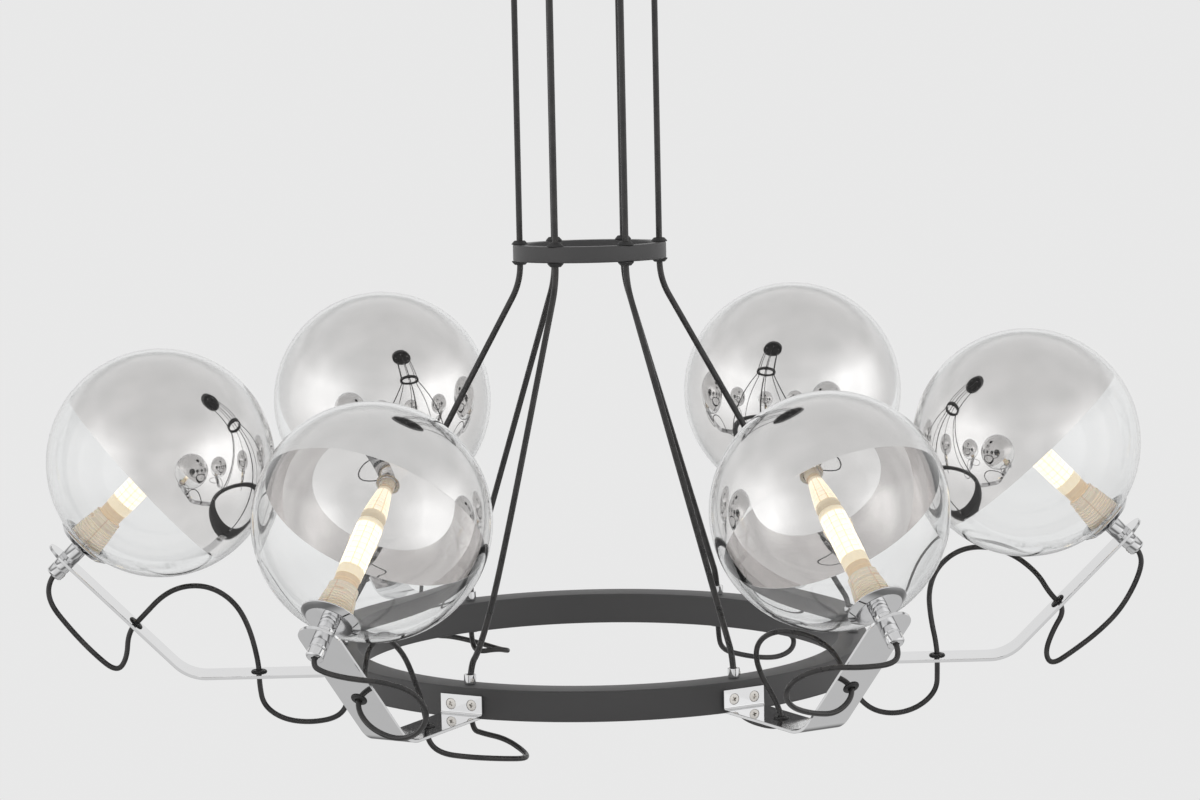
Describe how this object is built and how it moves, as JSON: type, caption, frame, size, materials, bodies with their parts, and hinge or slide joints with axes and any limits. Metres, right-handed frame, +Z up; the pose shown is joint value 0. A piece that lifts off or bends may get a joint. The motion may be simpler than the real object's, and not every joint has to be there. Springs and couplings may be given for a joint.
{
  "type": "chandelier",
  "caption": "Orb chandelier: clear glass globes with mirrored inner halves on bent chrome straps round a black square-tube ring, hung by cords from a round canopy.",
  "frame": {"origin": "middle of the ceiling bracket's two screw holes, on its upper face, where it meets the ceiling", "axes": "+Z up to the ceiling, -Y to the pictured front, +X to the viewer's right"},
  "size_m": [0.7225, 0.6563, 0.5219],
  "materials": {
    "black_paint": "satin, fine texture",
    "chrome": "polished mirror chrome",
    "screw_steel": "bright zinc-nickel plated, slightly grained",
    "black_rubber": "matt moulded rubber",
    "black_cord": "smooth satin PVC sheath",
    "holder_plastic": "ivory heat-resistant plastic, faintly translucent",
    "bulb_plastic": "warm white translucent body over a tan base, lit",
    "globe_glass": "clear blown glass, half of its inner face mirrored",
    "terminal_plastic": "plain moulded",
    "connector_plastic": "plain moulded",
    "brass_contact": "plain",
    "plated_steel": "zinc plated"
  },
  "bodies": {
    "frame": {"ring_tube": "black_paint", "spacer_ring": "black_paint", "ceiling_canopy": "black_paint", "ring_glands": "chrome", "ring_gland_screws": "screw_steel", "ring_gland_nuts": "plated_steel", "ring_grommets": "black_rubber", "ring_connectors": "connector_plastic", "ring_loom": "black_cord", "arm_screws": "screw_steel", "arm_grommets": "black_rubber", "strain_reliefs": "chrome", "strain_relief_screws": "screw_steel", "lamp_stems": "plated_steel", "lamp_sleeves": "chrome", "lamp_cups": "chrome", "socket_contacts": "brass_contact", "spacer_grommets": "black_rubber", "canopy_glands": "chrome", "canopy_gland_screws": "screw_steel", "canopy_gland_nuts": "plated_steel", "ceiling_bracket": "plated_steel", "canopy_screws": "screw_steel", "terminal_block": "terminal_plastic", "arm_strap_1": "chrome", "arm_strap_2": "chrome", "arm_strap_3": "chrome", "arm_strap_4": "chrome", "arm_strap_5": "chrome", "arm_strap_6": "chrome", "lampholder_1": "holder_plastic", "lampholder_2": "holder_plastic", "lampholder_3": "holder_plastic", "lampholder_4": "holder_plastic", "lampholder_5": "holder_plastic", "lampholder_6": "holder_plastic", "lamp_lead_1": "black_cord", "lamp_lead_2": "black_cord", "lamp_lead_3": "black_cord", "lamp_lead_4": "black_cord", "lamp_lead_5": "black_cord", "lamp_lead_6": "black_cord", "suspension_cord_1": "black_cord", "suspension_cord_2": "black_cord", "suspension_cord_3": "black_cord", "suspension_cord_4": "black_cord", "suspension_cord_5": "black_cord", "suspension_cord_6": "black_cord"},
    "globe_body_1": {"globe_1": "globe_glass"},
    "globe_body_2": {"globe_2": "globe_glass"},
    "globe_body_3": {"globe_3": "globe_glass"},
    "globe_body_4": {"globe_4": "globe_glass"},
    "globe_body_5": {"globe_5": "globe_glass"},
    "globe_body_6": {"globe_6": "globe_glass"},
    "bulb_body_1": {"bulb_1": "bulb_plastic"},
    "bulb_body_2": {"bulb_2": "bulb_plastic"},
    "bulb_body_3": {"bulb_3": "bulb_plastic"},
    "bulb_body_4": {"bulb_4": "bulb_plastic"},
    "bulb_body_5": {"bulb_5": "bulb_plastic"},
    "bulb_body_6": {"bulb_6": "bulb_plastic"}
  },
  "joints": [
    {"name": "globe_1_lift", "type": "slide", "parent": "frame", "child": "globe_body_1", "axis": [0.7071, 0, 0.7071], "range_m": [0, 0.11]},
    {"name": "globe_2_lift", "type": "slide", "parent": "frame", "child": "globe_body_2", "axis": [0.3536, 0.6124, 0.7071], "range_m": [0, 0.11]},
    {"name": "globe_3_lift", "type": "slide", "parent": "frame", "child": "globe_body_3", "axis": [-0.3536, 0.6124, 0.7071], "range_m": [0, 0.11]},
    {"name": "globe_4_lift", "type": "slide", "parent": "frame", "child": "globe_body_4", "axis": [-0.7071, 0, 0.7071], "range_m": [0, 0.11]},
    {"name": "globe_5_lift", "type": "slide", "parent": "frame", "child": "globe_body_5", "axis": [-0.3536, -0.6124, 0.7071], "range_m": [0, 0.11]},
    {"name": "globe_6_lift", "type": "slide", "parent": "frame", "child": "globe_body_6", "axis": [0.3536, -0.6124, 0.7071], "range_m": [0, 0.11]},
    {"name": "bulb_1_pull", "type": "slide", "parent": "frame", "child": "bulb_body_1", "axis": [0.7071, 0, 0.7071], "range_m": [0, 0.04]},
    {"name": "bulb_2_pull", "type": "slide", "parent": "frame", "child": "bulb_body_2", "axis": [0.3536, 0.6124, 0.7071], "range_m": [0, 0.04]},
    {"name": "bulb_3_pull", "type": "slide", "parent": "frame", "child": "bulb_body_3", "axis": [-0.3536, 0.6124, 0.7071], "range_m": [0, 0.04]},
    {"name": "bulb_4_pull", "type": "slide", "parent": "frame", "child": "bulb_body_4", "axis": [-0.7071, 0, 0.7071], "range_m": [0, 0.04]},
    {"name": "bulb_5_pull", "type": "slide", "parent": "frame", "child": "bulb_body_5", "axis": [-0.3536, -0.6124, 0.7071], "range_m": [0, 0.04]},
    {"name": "bulb_6_pull", "type": "slide", "parent": "frame", "child": "bulb_body_6", "axis": [0.3536, -0.6124, 0.7071], "range_m": [0, 0.04]}
  ]
}
